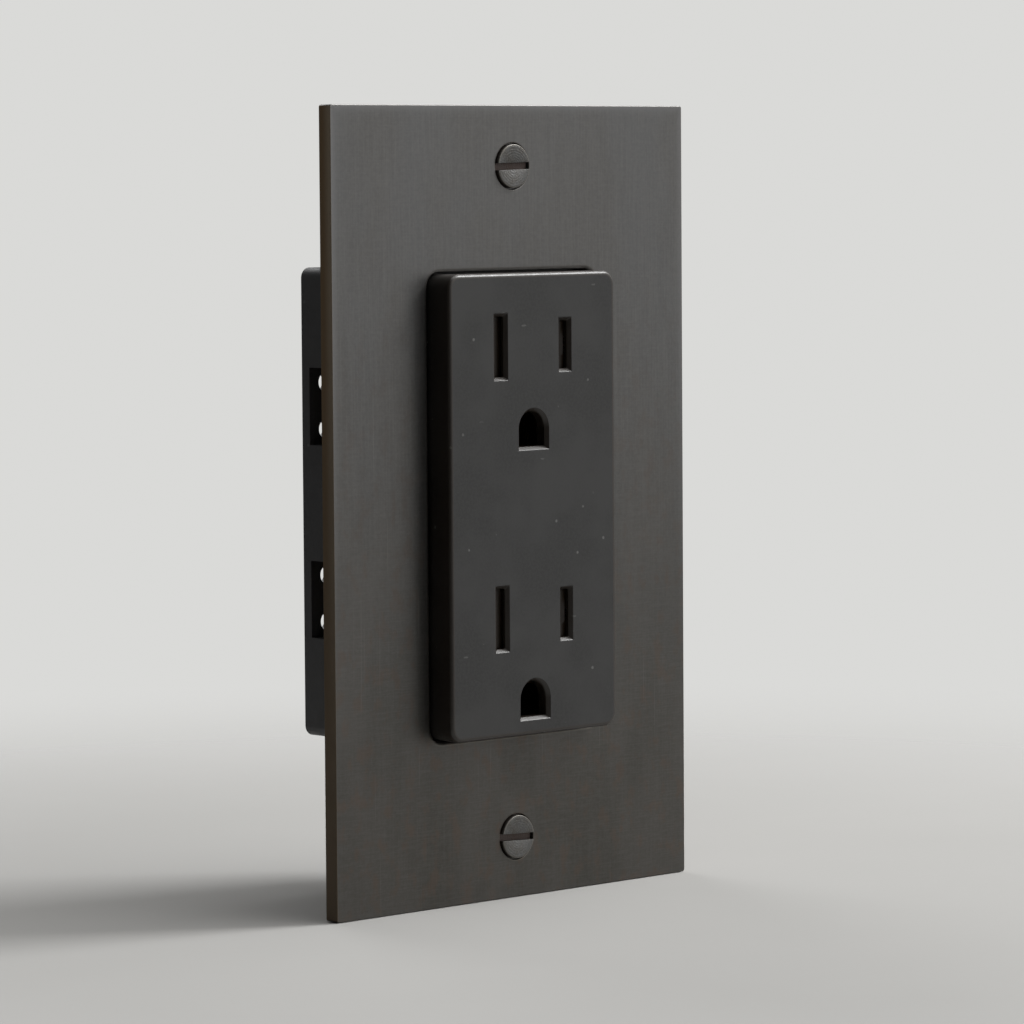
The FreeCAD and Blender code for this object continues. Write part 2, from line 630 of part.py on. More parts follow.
def make_terminal(name, side, level, middle):
    """A wire clamp, open, and the binding screw that draws it against the contact strip."""
    clamp = new_body(f"{name}_clamp_{level}")
    inner = "dims.bus_outer + dims.clamp_gap"
    outer = f"{inner} + dims.clamp_thick"
    left, right = span(side, inner, outer)
    add_pad(clamp, "YZ", left, right, draw_rectangle,
            "dims.terminal_y - 4.5", "dims.terminal_y + 4.5",
            f"{middle} - 5.0", f"{middle} + 5.0")
    add_pocket(clamp, "YZ", left, right, draw_circle, dim("terminal_y"), middle,
               dim("screw_fit"))
    left, right = span(side, inner, f"{inner} + 0.3")
    for offset in (-3.4, 3.4):
        add_pocket(clamp, "XZ", "dims.terminal_y - 4.5", "dims.terminal_y + 4.5",
                   draw_rectangle, left, right,
                   f"{middle} + {offset} - 0.8", f"{middle} + {offset} + 0.8")
    outward = "right" if side > 0 else "left"
    make_screw(f"{name}_screw_{level}", (dim("screw_radius"), "6.0"), ("3.6", "2.2"),
               ("1.1", "1.2"), outward,
               (f"{side} * ({outer} + 0.02)", dim("terminal_y"), middle))


# ---------------------------------------------------------------- grounding

def make_ground_bus():
    body = new_body("ground_bus")
    front, back = dim("ground_strip_front"), dim("ground_strip_back")
    foot_front = dim("seat_gap")
    add_pad(body, "XZ", front, back, draw_rectangle, "-2.8", "2.8", "-34.95", "14.3")
    add_pad(body, "XZ", foot_front, front, draw_rectangle, "-2.8", "2.8", "-34.95", "-34.15")
    add_pad(body, "XZ", foot_front, f"{foot_front} + 0.8", draw_rectangle,
            "-6.5", "6.5", "-36.6", "-34.15")
    for side in (1, -1):
        add_pocket(body, "XZ", foot_front, f"{foot_front} + 0.8", draw_circle,
                   f"{side * 5}", "-35.4", "0.8")
    for _, line in OUTLETS:
        add_pocket(body, "XZ", front, back, draw_circle,
                   "0", f"{line} - dims.ground_drop", "0.8")


def make_ground_contact(name, line):
    """A split sleeve for the ground pin, on a square foot."""
    body = new_body(f"ground_contact_{name}")
    centre = f"{line} - dims.ground_drop"
    mouth, foot = "3.6", "dims.ground_strip_front - 0.6"
    add_pad(body, "XZ", mouth, foot, draw_circle, "0", centre, "2.9")
    add_pad(body, "XZ", foot, dim("ground_strip_front"), draw_rectangle,
            "-2.7", "2.7", f"{centre} - 3.0", f"{centre} + 3.0")
    add_pocket(body, "XZ", mouth, foot, draw_circle, "0", centre, "2.42")
    add_pocket(body, "XZ", mouth, "13.0", draw_rectangle,
               "-0.6", "0.6", f"{centre} + 1.5", f"{centre} + 3.2")
    add_pocket(body, "XZ", foot, dim("ground_strip_front"), draw_circle, "0", centre, "0.8")


def make_rivets(label, places, shank, heads):
    """Rivets along Y, one solid at each (x, z). shank and each head are (radius, start, end)."""
    rivets = []
    for across, up in places:
        pieces = []
        for radius, start, end in (shank,) + heads:
            cylinder = doc.addObject("Part::Cylinder", "RivetRound")
            cylinder.Radius = radius
            cylinder.Height = end - start
            cylinder.Placement = FreeCAD.Placement(
                V(across, start, 0), FreeCAD.Rotation(V(1, 0, 0), -90))
            cylinder.setExpression("Placement.Base.z", up)
            pieces.append(cylinder)
        rivet = doc.addObject("Part::MultiFuse", "Rivet")
        rivet.Shapes = pieces
        rivets.append(rivet)
    group = doc.addObject("Part::Compound", label)
    group.Label = label
    group.Links = rivets
    parts.append(group)


def make_grounding():
    make_ground_bus()
    for name, line in OUTLETS:
        make_ground_contact(name, line)
    front, back = value(dim("ground_strip_front")), value(dim("ground_strip_back"))
    make_rivets("contact_rivets",
                [(0, f"{line} - dims.ground_drop") for _, line in OUTLETS],
                (0.76, front - 1.0, back + 0.4),
                ((1.4, front - 1.0, front - 0.62), (1.3, back + 0.02, back + 0.4)))
    make_rivets("strap_rivets", [(5, "-35.4"), (-5, "-35.4")],
                (0.76, -1.2, 1.3), ((1.15, 0.87, 1.3),))
    make_screw("ground_screw", (dim("screw_radius"), "7.5"), ("3.5", "2.2"), ("1.1", "1.2"),
               "left", ("-16.52", "7.0", "-41.6"))


# ---------------------------------------------------------------- build, check, write

make_wall_plate()
make_plate_screws()
make_face_cover()
for outlet_name, blade_line in OUTLETS:
    make_shutter_tray(outlet_name, blade_line)
    make_shutter(outlet_name, blade_line)
    make_shutter_spring(outlet_name, blade_line)
make_mounting_strap()
make_mounting_screws()
make_back_housing()
make_assembly_screws()
for side_name, side_sign in SIDES:
    make_contact_bus(side_name, side_sign)
    for level_name, level_z in TERMINALS:
        make_terminal(side_name, side_sign, level_name, level_z)
make_grounding()
doc.recompute()

faults = [o.Name for o in doc.Objects if "Invalid" in o.State or "Error" in o.State]
faults += [p.Label for p in parts if p.Shape.isNull() or not p.Shape.isValid()]
if faults:
    raise RuntimeError(f"failed objects: {faults}")

os.makedirs("parts", exist_ok=True)
for part in parts:
    part.Shape.exportStep(f"parts/{part.Label}.step")
    print(f"{part.Label}: {len(part.Shape.Solids)} solid(s), {part.Shape.Volume:.1f} mm3")
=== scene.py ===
import math

import bmesh
import bpy
from mathutils import Matrix, Vector


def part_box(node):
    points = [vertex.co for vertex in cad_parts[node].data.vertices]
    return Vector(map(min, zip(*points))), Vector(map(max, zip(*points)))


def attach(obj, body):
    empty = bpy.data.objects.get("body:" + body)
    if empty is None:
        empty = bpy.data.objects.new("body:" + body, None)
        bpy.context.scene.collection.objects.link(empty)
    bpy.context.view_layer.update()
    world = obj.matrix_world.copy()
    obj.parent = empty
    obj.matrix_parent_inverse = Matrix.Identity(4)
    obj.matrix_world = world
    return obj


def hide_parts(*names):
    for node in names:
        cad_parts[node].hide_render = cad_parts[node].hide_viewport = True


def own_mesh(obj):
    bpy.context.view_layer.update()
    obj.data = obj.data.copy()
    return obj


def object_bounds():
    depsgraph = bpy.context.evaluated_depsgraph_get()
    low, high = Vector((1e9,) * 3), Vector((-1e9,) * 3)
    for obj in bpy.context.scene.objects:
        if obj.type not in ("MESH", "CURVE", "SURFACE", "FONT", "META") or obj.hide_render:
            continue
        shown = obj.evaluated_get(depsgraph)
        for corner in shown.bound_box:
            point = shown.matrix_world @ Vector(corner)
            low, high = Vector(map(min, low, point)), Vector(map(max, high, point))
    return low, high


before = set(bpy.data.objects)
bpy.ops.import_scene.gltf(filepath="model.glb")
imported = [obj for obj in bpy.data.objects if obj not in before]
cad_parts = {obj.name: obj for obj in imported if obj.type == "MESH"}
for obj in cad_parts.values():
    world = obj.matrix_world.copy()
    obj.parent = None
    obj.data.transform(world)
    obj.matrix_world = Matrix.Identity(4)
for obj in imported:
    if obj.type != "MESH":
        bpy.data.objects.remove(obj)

# The duplex outlet's looks around its CAD frame: X to the right, Z up, Y into the wall.
# Blender works in metres. Sizes below are in millimetres, and MM turns them into metres.
MM = 0.001
cad_low, cad_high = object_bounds()


def corners(node):
    """Lowest and highest corner of a CAD node, in millimetres."""
    low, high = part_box(node)
    return low / MM, high / MM


def middle(node):
    """Centre of a CAD node's box, in millimetres."""
    low, high = corners(node)
    return (low + high) / 2


# ------------------------------------------------------------------ sizes that no CAD box gives

LEVELS = ("upper", "lower")
SIDES = ("neutral", "line")
BLADE_LINE = {level: middle(f"shutter_{level}").z for level in LEVELS}
GROUND_HOLE = {level: middle(f"ground_contact_{level}").z for level in LEVELS}

KEPT_FLAT = 0.12                  # strip of a flat face that stays flat beside a shaped edge
FINE_EDGE = 0.12                  # rounding of a cut metal edge

PLATE_CORNER = 0.35
WINDOW = (33.4, 66.8, 2.2)        # width, height and corner radius of the plate's window
WINDOW_EDGE = 0.6
RECESS = (43.2, 107.8, 1.2)       # the same of the hollow in the plate's back
RECESS_EDGE = 0.15
RECESS_FLOOR = -1.35
BORE_RADIUS = 3.35                # counterbore round a plate screw's head
BORE_FLOOR = -1.8
PASS_RADIUS = 1.95                # hole round its shank

FACE = (33.0, 66.4, 2.0)          # width, height and corner radius of the raised face
FACE_EDGE = 0.55
FACE_SKIN = 1.0                   # front wall over the shutters
FACE_WALL = 2.0                   # front wall elsewhere
FACE_SIDE = 1.6
ROOM_CORNER = 1.2                 # corner radius of the room behind the front wall
FLANGE_FRONT = 0.05
FLANGE_CORNER, FLANGE_EDGE = 1.0, 0.15
SHUTTER_ROOM = (29.6, 14.0, 0.4)  # width, height and corner radius
BLADE_X = {"neutral": -6.35, "line": 6.35}
SLOT_WIDTH, SLOT_CORNER = 1.65, 0.12
SLOT_HEIGHT = {"neutral": 8.65, "line": 6.9}
LEAD_WIDTH, LEAD_DEPTH = 0.5, 0.52  # the bevel round each opening of the face
LEAD_ROUND = 0.06                 # rounding at that bevel's two edges
NEUTRAL_LEDGE = 0.22              # how much wider that bevel is on the left of a neutral slot
GROUND_RADIUS = 2.55


# ------------------------------------------------------------------ meshes grown from rings

def rounded(width, height, radius, across=0.0, up=0.0, steps=10, mitred=False):
    """A rounded rectangle's outline in X and Z, as a function of how far it is inset."""
    def outline(inset):
        corner = radius if mitred else max(radius - inset, 0.01)
        half_x, half_z = width / 2 - inset - corner, height / 2 - inset - corner
        points = []
        for quarter, (sign_x, sign_z) in enumerate(((1, 1), (-1, 1), (-1, -1), (1, -1))):
            for i in range(steps + 1):
                turn = math.pi / 2 * (quarter + i / steps)
                points.append((across + sign_x * half_x + corner * math.cos(turn),
                               up + sign_z * half_z + corner * math.sin(turn)))
        return points
    return outline


def circle(radius, across=0.0, up=0.0, steps=64):
    """A circle's outline, as a function of how far it is inset."""
    def outline(inset):
        turns = [2 * math.pi * i / steps for i in range(steps)]
        return [(across + (radius - inset) * math.cos(t), up + (radius - inset) * math.sin(t))
                for t in turns]
    return outline


def arch(radius, up, steps=32):
    """The ground hole: a round top, straight sides and a flat bottom."""
    def outline(inset):
        reach = radius - inset
        turns = [math.pi * i / steps for i in range(steps + 1)]
        top = [(reach * math.cos(t), up + reach * math.sin(t)) for t in turns]
        return top + [(-reach, up - reach), (reach, up - reach)]
    return outline


def lip(face_y, into, radius, hole=False, steps=5):
    """(inset, y, wear) from a flat face over a rounded edge to the wall behind it.

    into is the wall's direction along Y. The first ring only keeps the flat face flat.
    """
    side = -1 if hole else 1
    profile = [(side * (radius + KEPT_FLAT), face_y, 0.0)]
    for i in range(steps + 1):
        turn = math.pi / 2 * i / steps
        profile.append((side * radius * (1 - math.sin(turn)),
                        face_y + into * radius * (1 - math.cos(turn)), 1.0))
    return profile


def ledged(outline, middle_x):
    """The outline with its left side stretched outwards where the bevel round it is widest."""
    def stretched(inset):
        reach = NEUTRAL_LEDGE * max(0.0, -inset) / LEAD_WIDTH
        return [(x - reach if x < middle_x else x, z) for x, z in outline(inset)]
    return stretched


def lead_in(face_y, floor_y):
    """(inset, y, wear) from the face over the bevel round an opening and down its wall."""
    bevel_end = face_y + LEAD_DEPTH
    return [
        (-LEAD_WIDTH - KEPT_FLAT, face_y, 0.0),
        (-LEAD_WIDTH, face_y, 0.0),
        (-LEAD_WIDTH + LEAD_ROUND * 0.7, face_y + LEAD_ROUND * 0.5, 1.0),
        (-LEAD_ROUND * 0.6, bevel_end, 1.0),
        (0.0, bevel_end + LEAD_ROUND, 1.0),
        (0.0, floor_y, 1.0),
    ]


class Skin:
    """A closed surface grown ring by ring, in millimetres."""

    def __init__(self):
        self.bm = bmesh.new()
        self.wear = self.bm.verts.layers.float.new("wear")

    def ring(self, points, wear=0.0):
        verts = [self.bm.verts.new(p) for p in points]
        for vert in verts:
            vert[self.wear] = wear
        return verts

    def band(self, first, second):
        """Faces between two rings of as many points."""
        count = len(first)
        for i in range(count):
            j = (i + 1) % count
            self.bm.faces.new((first[i], first[j], second[j], second[i]))

    def tube(self, rings):
        """Faces between each ring and the next."""
        for first, second in zip(rings, rings[1:]):
            self.band(first, second)

    def wall(self, outline, profile):
        """Rings of one outline along a profile of (inset, y, wear). Returns the two end rings."""
        rings = [self.ring([(x, y, z) for x, z in outline(inset)], wear)
                 for inset, y, wear in profile]
        self.tube(rings)
        return rings[0], rings[-1]

    def sheet(self, outer, *holes):
        """Flat faces between an outer ring and the rings inside it."""
        edges = []
        for ring in (outer, *holes):
            for i, vert in enumerate(ring):
                pair = (vert, ring[(i + 1) % len(ring)])
                edges.append(self.bm.edges.get(pair) or self.bm.edges.new(pair))
        bmesh.ops.triangle_fill(self.bm, edges=edges, use_beauty=True)

    def fan(self, ring, centre):
        vert = self.bm.verts.new(centre)
        for i in range(len(ring)):
            self.bm.faces.new((ring[i], ring[(i + 1) % len(ring)], vert))

    def mesh(self, name):
        bmesh.ops.recalc_face_normals(self.bm, faces=self.bm.faces)
        mesh = bpy.data.meshes.new(name)
        self.bm.to_mesh(mesh)
        self.bm.free()
        mesh.transform(Matrix.Scale(MM, 4))
        return mesh


SHARP_ANGLE = 32                  # degrees between faces from which an edge is shaded sharp
NORMAL_WEIGHT = 60                # how much wide faces steady the shading of narrow ones


def shade(mesh, angle=SHARP_ANGLE):
    mesh.shade_smooth()
    mesh.set_sharp_from_angle(angle=math.radians(angle))


def add_object(name, data):
    made = bpy.data.objects.new(name, data)
    bpy.context.scene.collection.objects.link(made)
    return made


def place(name, mesh, body, paint, node, matrix=None):
    """A finished piece on its body, standing for its CAD node."""
    piece = add_object(name, mesh)
    piece.matrix_world = matrix or Matrix.Identity(4)
    mesh.materials.clear()
    mesh.materials.append(paint)
    steady = piece.modifiers.new("flat_normals", "WEIGHTED_NORMAL")
    steady.keep_sharp = True
    steady.weight = NORMAL_WEIGHT
    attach(piece, body)
    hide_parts(node)
    return piece


# ------------------------------------------------------------------ materials

class Paint:
    """Short calls that build one procedural material. Sizes are in millimetres."""

    def __init__(self, name, **sockets):
        self.material = bpy.data.materials.new(name)
        self.material.use_nodes = True
        self.tree = self.material.node_tree
        self.shader = next(n for n in self.tree.nodes if n.type == "BSDF_PRINCIPLED")
        for socket, number in sockets.items():
            self.shader.inputs[socket.replace("_", " ")].default_value = number
        self.place = self.tree.nodes.new("ShaderNodeTexCoord").outputs["Object"]
        self.normal = None

    def node(self, kind, inputs=(), **settings):
        made = self.tree.nodes.new(f"ShaderNode{kind}")
        for key, setting in settings.items():
            setattr(made, key, setting)
        for socket, source in dict(inputs).items():
            if isinstance(source, bpy.types.NodeSocket):
                self.tree.links.new(source, made.inputs[socket])
            else:
                made.inputs[socket].default_value = source
        return made

    def cells(self, source, size, shift, turn=0.0):
        """source in units of size (x, y, z) millimetres, moved so that two patterns differ."""
        return self.node("Mapping", {
            "Vector": source,
            "Location": (shift, shift * 0.7, shift * 1.3),
            "Rotation": (0.0, turn, 0.0),
            "Scale": tuple(1 / (s * MM) for s in size),
        }).outputs[0]

    def grain(self, size, detail=3.0, roughness=0.55, shift=0.0):
        """Noise from 0 to 1 whose features are about size (x, y, z) millimetres."""
        noise = self.node("TexNoise", {
            "Vector": self.cells(self.place, size, shift), "Scale": 1.0, "Detail": detail,
            "Roughness": roughness})
        return noise.outputs["Fac"]

    def span(self, source, low, high, to_low=0.0, to_high=1.0, smooth=True):
        """source between low and high, stretched to run from to_low to to_high."""
        ranged = self.node("MapRange", {
            "Value": source, "From Min": low, "From Max": high, "To Min": to_low, "To Max": to_high,
        }, interpolation_type="SMOOTHSTEP" if smooth else "LINEAR")
        return ranged.outputs["Result"]

    def sums(self, kind, a, b):
        return self.node("Math", {0: a, 1: b}, operation=kind).outputs[0]

    def blend(self, share, first, second):
        """The first colour, with that share of the second."""
        mixed = self.node("Mix", {0: share, 6: self.full(first), 7: self.full(second)},
                          data_type="RGBA")
        return mixed.outputs[2]

    @staticmethod
    def full(colour):
        return colour if isinstance(colour, bpy.types.NodeSocket) else (*colour, 1.0)

    def wear(self):
        """How near a place is to a rubbed edge, from 0 to 1."""
        return self.node("Attribute", attribute_name="wear").outputs["Fac"]

    def along(self, axis):
        """A coordinate in millimetres."""
        parts = self.node("SeparateXYZ", {0: self.place})
        return self.sums("DIVIDE", parts.outputs[axis], MM)

    def inside(self, axis, edge):
        """How far a place is inside the faces at plus and minus edge, in millimetres."""
        return self.sums("SUBTRACT", edge, self.sums("ABSOLUTE", self.along(axis), 0.0))

    def specks(self, size, share, radius, shift=0.0):
        """Sparse irregular marks: one in each cell of size (x, y, z) millimetres, kept by share."""
        ripple, reach, turn = 2.2, 0.25, 0.5
        wobble = self.node("TexNoise", {"Vector": self.place, "Scale": ripple / MM, "Detail": 2.0})
        bent = self.node("VectorMath", {0: wobble.outputs["Color"], 1: (reach * MM,) * 3},
                         operation="MULTIPLY")
        moved = self.node("VectorMath", {0: self.place, 1: bent.outputs[0]}, operation="ADD")
        cells = self.node("TexVoronoi", {
            "Vector": self.cells(moved.outputs[0], size, shift, turn), "Scale": 1.0})
        chance = self.node("SeparateColor", {0: cells.outputs["Color"]}).outputs[0]
        near = self.span(cells.outputs["Distance"], radius, radius * 0.6)
        return self.sums("MULTIPLY", near, self.span(chance, 1 - share, 1 - share + 0.01))

    def colour(self, source):
        self.tree.links.new(source, self.shader.inputs["Base Color"])

    def gloss(self, source):
        self.tree.links.new(source, self.shader.inputs["Roughness"])

    def relief(self, height, depth, strength=1.0):
        """Add a bump whose full height is depth millimetres."""
        inputs = {"Height": height, "Distance": depth * MM, "Strength": strength}
        if self.normal:
            inputs["Normal"] = self.normal
        self.normal = self.node("Bump", inputs).outputs["Normal"]
        self.tree.links.new(self.normal, self.shader.inputs["Normal"])


BRONZE_METAL = 0.82
BRONZE_RUBBED = (0.20, 0.18, 0.15)


def bronze_brushed():
    """The wall plate: dark oil-rubbed bronze, brushed upright, with brown patina towards the bottom;
    painted shade darkens its front towards the bottom and its flanks towards the back, and a painted
    highlight pales the border of its front.
    """
    paint = Paint("bronze_brushed", Metallic=BRONZE_METAL, Specular_IOR_Level=0.5)
    streak = paint.grain((0.30, 3.0, 14.0), detail=4.0)
    hair = paint.grain((0.10, 3.0, 3.2), detail=3.0, shift=3.0)
    thread = paint.grain((4.0, 3.0, 0.22), detail=3.0, shift=17.0)
    grit = paint.grain((0.42, 0.42, 0.42), detail=3.0, roughness=0.7, shift=29.0)
    cloud = paint.grain((9.0, 9.0, 24.0), detail=2.0, shift=7.0)
    patina = paint.grain((2.2, 4.0, 3.4), detail=4.0, shift=11.0)
    low_down = paint.span(paint.along("Z"), 52.0, -52.0)
    pale = (0.150, 0.147, 0.142)
    # Painted shade: the front's tone runs from lighter at the top to darker at the bottom, as under
    # light from above, and the brushed streaks and pale grit fade with it.
    tone = paint.blend(low_down, (0.098, 0.098, 0.099), (0.053, 0.0505, 0.0445))
    tone = paint.blend(paint.span(cloud, 0.35, 0.65, 0.0, 0.4), tone, (0.086, 0.081, 0.075))
    brushed = paint.sums("MULTIPLY", paint.span(streak, 0.36, 0.72),
                         paint.span(low_down, 0.1, 0.8, 0.34, 0.08))
    tone = paint.blend(brushed, tone, (0.130, 0.128, 0.124))
    tone = paint.blend(paint.span(thread, 0.40, 0.70, 0.0, 0.10), tone, pale)
    speckled = paint.sums("MULTIPLY", paint.span(grit, 0.38, 0.62),
                          paint.span(low_down, 0.1, 0.9, 0.17, 0.07))
    tone = paint.blend(speckled, tone, pale)
    tone = paint.blend(paint.span(hair, 0.40, 0.75, 0.0, 0.18), tone, (0.060, 0.057, 0.053))
    brown = paint.sums("MULTIPLY", paint.span(patina, 0.50, 0.66, 0.0, 0.34), low_down)
    tone = paint.blend(brown, tone, (0.092, 0.060, 0.043))
    scratch = paint.span(paint.grain((0.16, 4.0, 22.0), detail=1.0, shift=23.0), 0.73, 0.77)
    tone = paint.blend(paint.sums("MULTIPLY", scratch, 0.22), tone, (0.17, 0.165, 0.155))

    # Painted highlight: the front is painted paler and bluer near its border, most at the top, for
    # light caught by a softly rounded edge; the mask rubbed holds this painted highlight. The two
    # flanks are brown patina with painted shade.
    half_width, half_height = cad_high.x / MM, cad_high.z / MM
    border = paint.sums("MINIMUM", paint.inside("X", half_width), paint.inside("Z", half_height))
    rubbed = paint.sums("POWER", paint.span(border, 2.4, 0.05, smooth=False), 3.0)
    rubbed = paint.sums("MULTIPLY", rubbed, paint.span(low_down, 0.0, 0.9, 0.55, 0.05))
    tone = paint.blend(rubbed, tone, (0.175, 0.175, 0.178))
    # Painted shade: the flanks' brown is painted darker towards the back, where the wall would shade
    # them, and darker towards the bottom.
    flank = paint.span(paint.inside("X", half_width), 0.10, 0.02)
    forward = paint.span(paint.along("Y"), -0.6, -2.35)
    flank_brown_and_shade = paint.blend(forward, (0.200, 0.128, 0.064), (0.330, 0.265, 0.190))
    tone = paint.blend(flank, tone, paint.blend(low_down, flank_brown_and_shade, (0.078, 0.054, 0.032)))

    paint.colour(paint.blend(paint.span(paint.wear(), 0.2, 1.0, 0.0, 0.15), tone, BRONZE_RUBBED))
    paint.gloss(paint.sums("ADD", paint.span(streak, 0.3, 0.7, 0.36, 0.42),
                           paint.span(patina, 0.4, 0.7, -0.02, 0.04)))
    paint.relief(streak, 0.006, 0.2)
    paint.relief(hair, 0.004, 0.25)
    paint.relief(grit, 0.010, 0.25)
    return paint.material


def bronze_turned():
    """Screw heads of the same bronze, faced on a lathe: fine rings about the screw's own Z axis."""
    paint = Paint("bronze_turned", Metallic=BRONZE_METAL, Specular_IOR_Level=0.5)
    grit = paint.grain((0.22, 0.22, 0.22), detail=5.0)
    cloud = paint.grain((1.6, 1.6, 1.6), detail=2.0, shift=5.0)
    rings = paint.node("TexWave", {
        "Vector": paint.place, "Scale": 0.85 / MM, "Distortion": 2.6, "Detail": 3.0,
        "Detail Scale": 0.6}, wave_type="RINGS", rings_direction="Z")
    tone = paint.blend(paint.span(cloud, 0.35, 0.7), (0.089, 0.089, 0.088), (0.076, 0.071, 0.065))
    tone = paint.blend(paint.span(grit, 0.42, 0.70, 0.0, 0.7), tone, (0.135, 0.133, 0.128))
    tone = paint.blend(paint.span(paint.wear(), 0.2, 1.0, 0.0, 0.25), tone, BRONZE_RUBBED)
    # Painted shade: the driver slot and the head's side, below 0.95 mm up the head, are painted dark
    # reddish brown.
    below = paint.span(paint.along("Z"), 0.95, 0.55, 0.0, 0.65)
    paint.colour(paint.blend(below, tone, (0.040, 0.021, 0.016)))
    paint.gloss(paint.span(grit, 0.3, 0.7, 0.34, 0.50))
    paint.relief(rings.outputs["Fac"], 0.025, 0.45)
    paint.relief(grit, 0.06, 0.8)
    return paint.material


def moulded(name, dark, light, roughness, pore=0.16, pore_depth=0.012, specks=0.0,
            speck_tone=(0.2, 0.2, 0.2), edge_tone=None):
    """Satin moulded plastic: clouds and mottles of tone, a spark-eroded skin, sparse light marks."""
    paint = Paint(name, Specular_IOR_Level=0.5)
    cloud = paint.grain((11.0, 11.0, 11.0), detail=3.0)
    pores = paint.grain((pore, pore, pore), detail=2.0, shift=2.0)
    swell = paint.grain((2.4, 2.4, 2.4), detail=1.0, shift=9.0)
    mottle = paint.grain((0.42, 0.42, 0.42), detail=3.0, roughness=0.7, shift=21.0)
    tone = paint.blend(paint.span(cloud, 0.35, 0.65, 0.0, 0.8), dark, light)
    tone = paint.blend(paint.span(mottle, 0.38, 0.62, 0.0, 0.5), tone, light)
    if specks:
        dust = paint.specks((1.4, 1.4, 1.4), 0.05, 0.20, shift=31.0)
        nick = paint.specks((4.5, 1.6, 1.2), 0.07, 0.13, shift=47.0)
        marks = paint.sums("MAXIMUM", dust, paint.sums("MULTIPLY", nick, 0.6))
        tone = paint.blend(paint.sums("MULTIPLY", marks, specks), tone, speck_tone)
    worn = paint.span(paint.wear(), 0.1, 1.0, 0.0, 0.5)
    paint.colour(paint.blend(worn, tone, edge_tone or light))
    paint.gloss(paint.sums("ADD", paint.span(pores, 0.3, 0.7, roughness - 0.03, roughness + 0.03),
                           paint.span(swell, 0.3, 0.7, -0.02, 0.03)))
    paint.relief(swell, 0.02, 0.25)
    paint.relief(pores, pore_depth, 0.5)
    return paint.material


def plated(name, dark, light, roughness, lay, tint=None):
    """Plated or bare pressed metal: crystal bloom, fine lines of size lay, rubbed spots."""
    paint = Paint(name, Metallic=1.0)
    bloom = paint.grain((1.3, 1.3, 1.3), detail=4.0)
    lines = paint.grain(lay, detail=4.0, shift=4.0)
    rub = paint.grain((4.5, 4.5, 4.5), detail=3.0, shift=13.0)
    tone = paint.blend(paint.span(bloom, 0.35, 0.65), dark, light)
    line_tone = tuple(c * 0.72 for c in light)
    tone = paint.blend(paint.span(lines, 0.45, 0.7, 0.0, 0.35), tone, line_tone)
    if tint:
        tone = paint.blend(paint.span(rub, 0.45, 0.7, 0.0, 0.7), tone, tint)
    paint.colour(tone)
    paint.gloss(paint.sums("ADD", paint.span(lines, 0.3, 0.7, roughness - 0.05, roughness + 0.07),
                           paint.span(rub, 0.4, 0.7, -0.03, 0.08)))
    paint.relief(lines, 0.012, 0.4)
    paint.relief(bloom, 0.02, 0.2)
    return paint.material


def fibre_board():
    """Vulcanised fibre of the screw retainers: layered brown paper with flecks."""
    paint = Paint("fibre_board", Roughness=0.7)
    layers = paint.grain((6.0, 0.12, 6.0), detail=3.0)
    fleck = paint.grain((0.35, 0.35, 0.8), detail=4.0, shift=6.0)
    tone = paint.blend(paint.span(fleck, 0.4, 0.65), (0.36, 0.24, 0.13), (0.52, 0.37, 0.21))
    paint.colour(paint.blend(paint.span(layers, 0.5, 0.7, 0.0, 0.5), tone, (0.25, 0.16, 0.09)))
    paint.relief(fleck, 0.04, 0.5)
    return paint.material


# Sizes of a metal's fine lines: drawn or rolled along an axis, or even.
ALONG_X, ALONG_Z, EVEN = (18.0, 0.25, 0.25), (0.25, 0.25, 18.0), (0.3, 0.3, 0.3)
ZINC_DARK, ZINC_LIGHT, ZINC_TINT = (0.50, 0.51, 0.52), (0.66, 0.67, 0.68), (0.60, 0.57, 0.47)

BRONZE_PLATE = bronze_brushed()
BRONZE_SCREW = bronze_turned()
FACE_PLASTIC = moulded(
    "face_plastic_satin", (0.0020, 0.0020, 0.0019), (0.0145, 0.0144, 0.0140), 0.36,
    specks=0.6, speck_tone=(0.13, 0.13, 0.125), edge_tone=(0.024, 0.016, 0.010))
SHUTTER_PLASTIC = moulded(
    "shutter_plastic_brown", (0.022, 0.014, 0.008), (0.029, 0.018, 0.010), 0.34)
TRAY_PLASTIC = moulded(
    "tray_plastic_black", (0.020, 0.020, 0.020), (0.028, 0.028, 0.028), 0.42)
HOUSING_PLASTIC = moulded(
    "housing_plastic_dark", (0.040, 0.040, 0.042), (0.052, 0.052, 0.054), 0.48,
    pore=0.3, pore_depth=0.03, specks=0.25)
ZINC = plated("zinc_bright", ZINC_DARK, ZINC_LIGHT, 0.34, ALONG_X, ZINC_TINT)
ZINC_UPRIGHT = plated("zinc_strap", ZINC_DARK, ZINC_LIGHT, 0.36, ALONG_Z, ZINC_TINT)
NICKEL = plated("nickel_plate", (0.60, 0.58, 0.54), (0.72, 0.70, 0.65), 0.28, EVEN)
BRASS = plated(
    "brass_strip", (0.58, 0.40, 0.17), (0.72, 0.52, 0.25), 0.30, ALONG_Z, (0.42, 0.27, 0.11))
BRASS_SCREW = plated(
    "brass_turned", (0.60, 0.42, 0.18), (0.74, 0.54, 0.26), 0.28, EVEN, (0.45, 0.30, 0.12))
GREEN = plated(
    "green_dyed", (0.03, 0.20, 0.06), (0.06, 0.32, 0.11), 0.34, EVEN, (0.02, 0.13, 0.05))
SPRING = plated("spring_wire", (0.42, 0.41, 0.40), (0.58, 0.57, 0.55), 0.26, ALONG_X)
FIBRE = fibre_board()


# ------------------------------------------------------------------ wall plate and face cover

